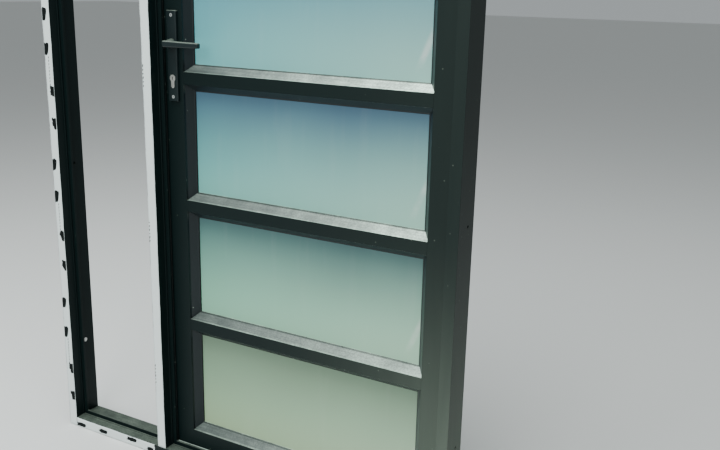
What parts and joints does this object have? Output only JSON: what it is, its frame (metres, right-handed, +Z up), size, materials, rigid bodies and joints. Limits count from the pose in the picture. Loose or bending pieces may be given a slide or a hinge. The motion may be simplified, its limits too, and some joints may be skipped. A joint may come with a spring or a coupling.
{
  "type": "glazed entrance door with frame and sidelight bay",
  "caption": "Inward-opening aluminium door leaf with stacked frosted panes, lever handle and cylinder lock, hung in a frame with an open sidelight bay.",
  "frame": {"origin": "centre of the sill's underside, half way through the frame's depth", "axes": "+X to the right seen from outdoors, +Y indoors, +Z up"},
  "size_m": [1.2, 0.1244, 2.1],
  "materials": {
    "profile_coat": "satin charcoal powder coat on extruded aluminium",
    "bead_coat": "satin charcoal powder coat on extruded aluminium",
    "handle_coat": "satin dark grey powder coat on cast aluminium",
    "hinge_coat": "satin charcoal powder coat on aluminium",
    "frosted_glass": "frosted",
    "black_rubber": "matte extruded rubber",
    "white_film": "thin protective film",
    "white_plastic": "smooth moulded",
    "block_plastic": "plain moulded",
    "zinc_steel": "bright zinc plating",
    "lock_steel": "zinc-plated sheet and bar",
    "nickel_brass": "nickel plated"
  },
  "bodies": {
    "frame": {"door_seal": "black_rubber", "fixing_cap": "white_plastic", "frame_head": "profile_coat", "frame_screws": "zinc_steel", "frame_sill": "profile_coat", "hinge_frame_plates": "hinge_coat", "hinge_frame_screws": "zinc_steel", "hinge_pins": "hinge_coat", "jamb_left": "profile_coat", "jamb_right": "profile_coat", "mullion": "profile_coat", "strike_plate": "lock_steel", "strike_screws": "zinc_steel", "tape_head": "white_film", "tape_jamb": "white_film", "tape_mullion": "white_film", "tape_sill": "white_film"},
    "leaf": {"bottom_rail": "profile_coat", "cylinder_body": "nickel_brass", "gaskets_inner": "black_rubber", "gaskets_outer": "black_rubber", "glass_pane_1": "frosted_glass", "glass_pane_2": "frosted_glass", "glass_pane_3": "frosted_glass", "glass_pane_4": "frosted_glass", "glass_pane_5": "frosted_glass", "glass_pane_6": "frosted_glass", "handle_plate_inner": "handle_coat", "handle_plate_outer": "handle_coat", "hinge_leaf_plates": "hinge_coat", "hinge_leaf_screws": "zinc_steel", "hinge_stile": "profile_coat", "leaf_screws": "zinc_steel", "lock_case": "lock_steel", "lock_forend": "lock_steel", "lock_screws": "zinc_steel", "lock_stile": "profile_coat", "pane_beads_1": "bead_coat", "pane_beads_2": "bead_coat", "pane_beads_3": "bead_coat", "pane_beads_4": "bead_coat", "pane_beads_5": "bead_coat", "pane_beads_6": "bead_coat", "plate_screws": "zinc_steel", "setting_blocks": "block_plastic", "top_rail": "profile_coat", "transom_1": "profile_coat", "transom_2": "profile_coat", "transom_3": "profile_coat", "transom_4": "profile_coat", "transom_5": "profile_coat"},
    "handle": {"lever_outer": "handle_coat", "lever_inner": "handle_coat", "spindle": "lock_steel", "lock_follower": "lock_steel"},
    "latch_bolt": {"latch_bolt": "lock_steel"},
    "dead_bolt": {"dead_bolt": "lock_steel"},
    "cylinder_core": {"cylinder_plugs": "nickel_brass", "cylinder_cam": "lock_steel"}
  },
  "joints": [
    {"name": "door_hinge", "type": "hinge", "parent": "frame", "child": "leaf", "pos_m": [0.569, 0.051, 0], "axis": [0, 0, -1], "range_deg": [0, 100]},
    {"name": "handle_turn", "type": "hinge", "parent": "leaf", "child": "handle", "pos_m": [-0.195, 0.023, 1.134], "axis": [0, 1, 0], "range_deg": [0, 45], "stiffness_Nm_per_rad": 1.2, "springref_deg": -28.65},
    {"name": "latch_slide", "type": "slide", "parent": "leaf", "child": "latch_bolt", "axis": [1, 0, 0], "range_m": [0, 0.011]},
    {"name": "cylinder_turn", "type": "hinge", "parent": "leaf", "child": "cylinder_core", "pos_m": [-0.195, 0.023, 1.049], "axis": [0, 1, 0], "range_deg": [0, 360]},
    {"name": "bolt_slide", "type": "slide", "parent": "leaf", "child": "dead_bolt", "axis": [-1, 0, 0], "range_m": [0, 0.02]}
  ],
  "couplings": [
    {"joint": "latch_slide", "follows": "handle_turn", "m_per_rad": 0.013878},
    {"joint": "cylinder_turn", "follows": "bolt_slide", "rad_per_m": 313}
  ]
}
